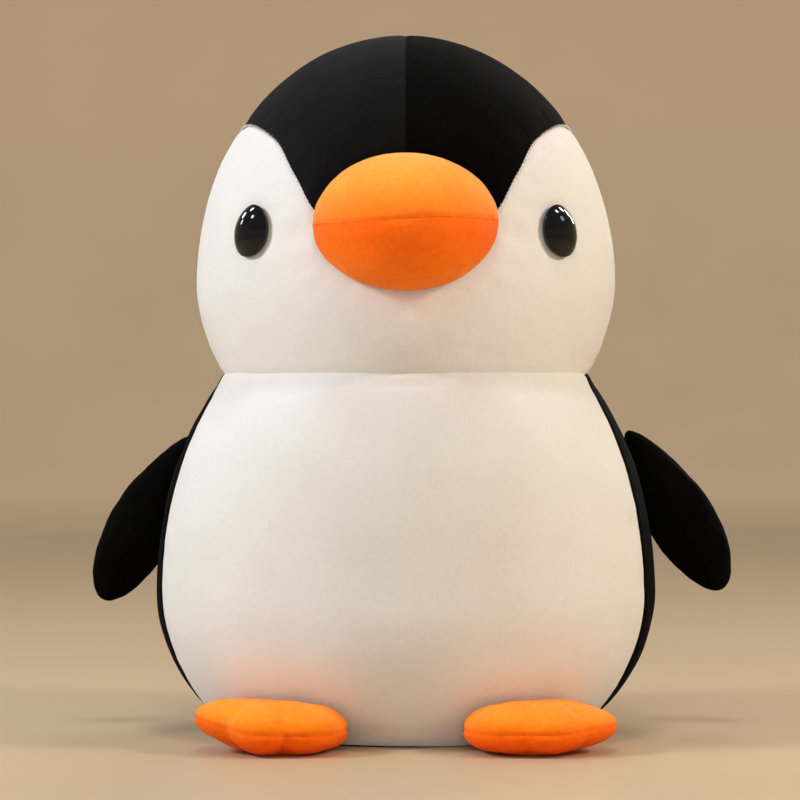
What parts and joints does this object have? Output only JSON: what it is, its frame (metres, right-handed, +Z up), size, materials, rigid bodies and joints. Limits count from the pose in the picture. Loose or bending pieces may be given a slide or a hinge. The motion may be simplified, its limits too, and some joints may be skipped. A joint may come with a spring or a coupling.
{
  "type": "plush penguin",
  "caption": "Stuffed plush penguin with a ball-seated head, hinged flippers and hinged feet, sitting on a flat base.",
  "frame": {"origin": "middle of the flat base, on the surface the toy rests on", "axes": "+Z up through the head, -Y the way the face looks, +X towards the penguin's own left"},
  "size_m": [0.4195, 0.317, 0.45],
  "materials": {
    "white_plush": "matte",
    "black_plush": "matte",
    "orange_plush": "matte",
    "eye_plastic": "gloss",
    "washer_plastic": "matte",
    "thread": "matte",
    "fibre": "matte"
  },
  "bodies": {
    "torso": {"belly_panel": "white_plush", "back_panel_left": "black_plush", "back_panel_right": "black_plush", "base_panel": "black_plush", "torso_filling": "fibre"},
    "neck": {"neck_filling": "fibre", "neck_seam": "thread"},
    "head": {"cap_left": "black_plush", "cap_right": "black_plush", "face_left": "white_plush", "face_right": "white_plush", "head_filling": "fibre", "beak_upper": "orange_plush", "beak_lower": "orange_plush", "beak_filling": "fibre", "eye_left": "eye_plastic", "eye_right": "eye_plastic", "eye_washer_left": "washer_plastic", "eye_washer_right": "washer_plastic"},
    "flipper_left": {"flipper_left_front": "black_plush", "flipper_left_back": "black_plush", "flipper_left_filling": "fibre"},
    "flipper_right": {"flipper_right_front": "black_plush", "flipper_right_back": "black_plush", "flipper_right_filling": "fibre"},
    "foot_left": {"foot_left_upper": "orange_plush", "foot_left_sole": "orange_plush", "foot_left_filling": "fibre"},
    "foot_right": {"foot_right_upper": "orange_plush", "foot_right_sole": "orange_plush", "foot_right_filling": "fibre"}
  },
  "joints": [
    {"name": "neck_turn", "type": "hinge", "parent": "torso", "child": "neck", "pos_m": [0, 0, 0.287], "axis": [0, 0, 1], "range_deg": [-20, 20], "stiffness_Nm_per_rad": 0.6},
    {"name": "head_nod", "type": "hinge", "parent": "neck", "child": "head", "pos_m": [0, 0, 0.287], "axis": [1, 0, 0], "range_deg": [-8, 8], "stiffness_Nm_per_rad": 1.5},
    {"name": "flipper_left_lift", "type": "hinge", "parent": "torso", "child": "flipper_left", "pos_m": [0.1485, 0.02, 0.188], "axis": [0, -1, 0], "range_deg": [0, 65], "stiffness_Nm_per_rad": 0.12},
    {"name": "flipper_right_lift", "type": "hinge", "parent": "torso", "child": "flipper_right", "pos_m": [-0.148, 0.02, 0.1885], "axis": [0, 1, 0], "range_deg": [0, 65], "stiffness_Nm_per_rad": 0.12},
    {"name": "foot_left_fold", "type": "hinge", "parent": "torso", "child": "foot_left", "pos_m": [0.0815, -0.09, 0.013], "axis": [-1, 0, 0], "range_deg": [0, 7], "stiffness_Nm_per_rad": 0.15},
    {"name": "foot_right_fold", "type": "hinge", "parent": "torso", "child": "foot_right", "pos_m": [-0.0815, -0.09, 0.013], "axis": [-1, 0, 0], "range_deg": [0, 7], "stiffness_Nm_per_rad": 0.15}
  ]
}
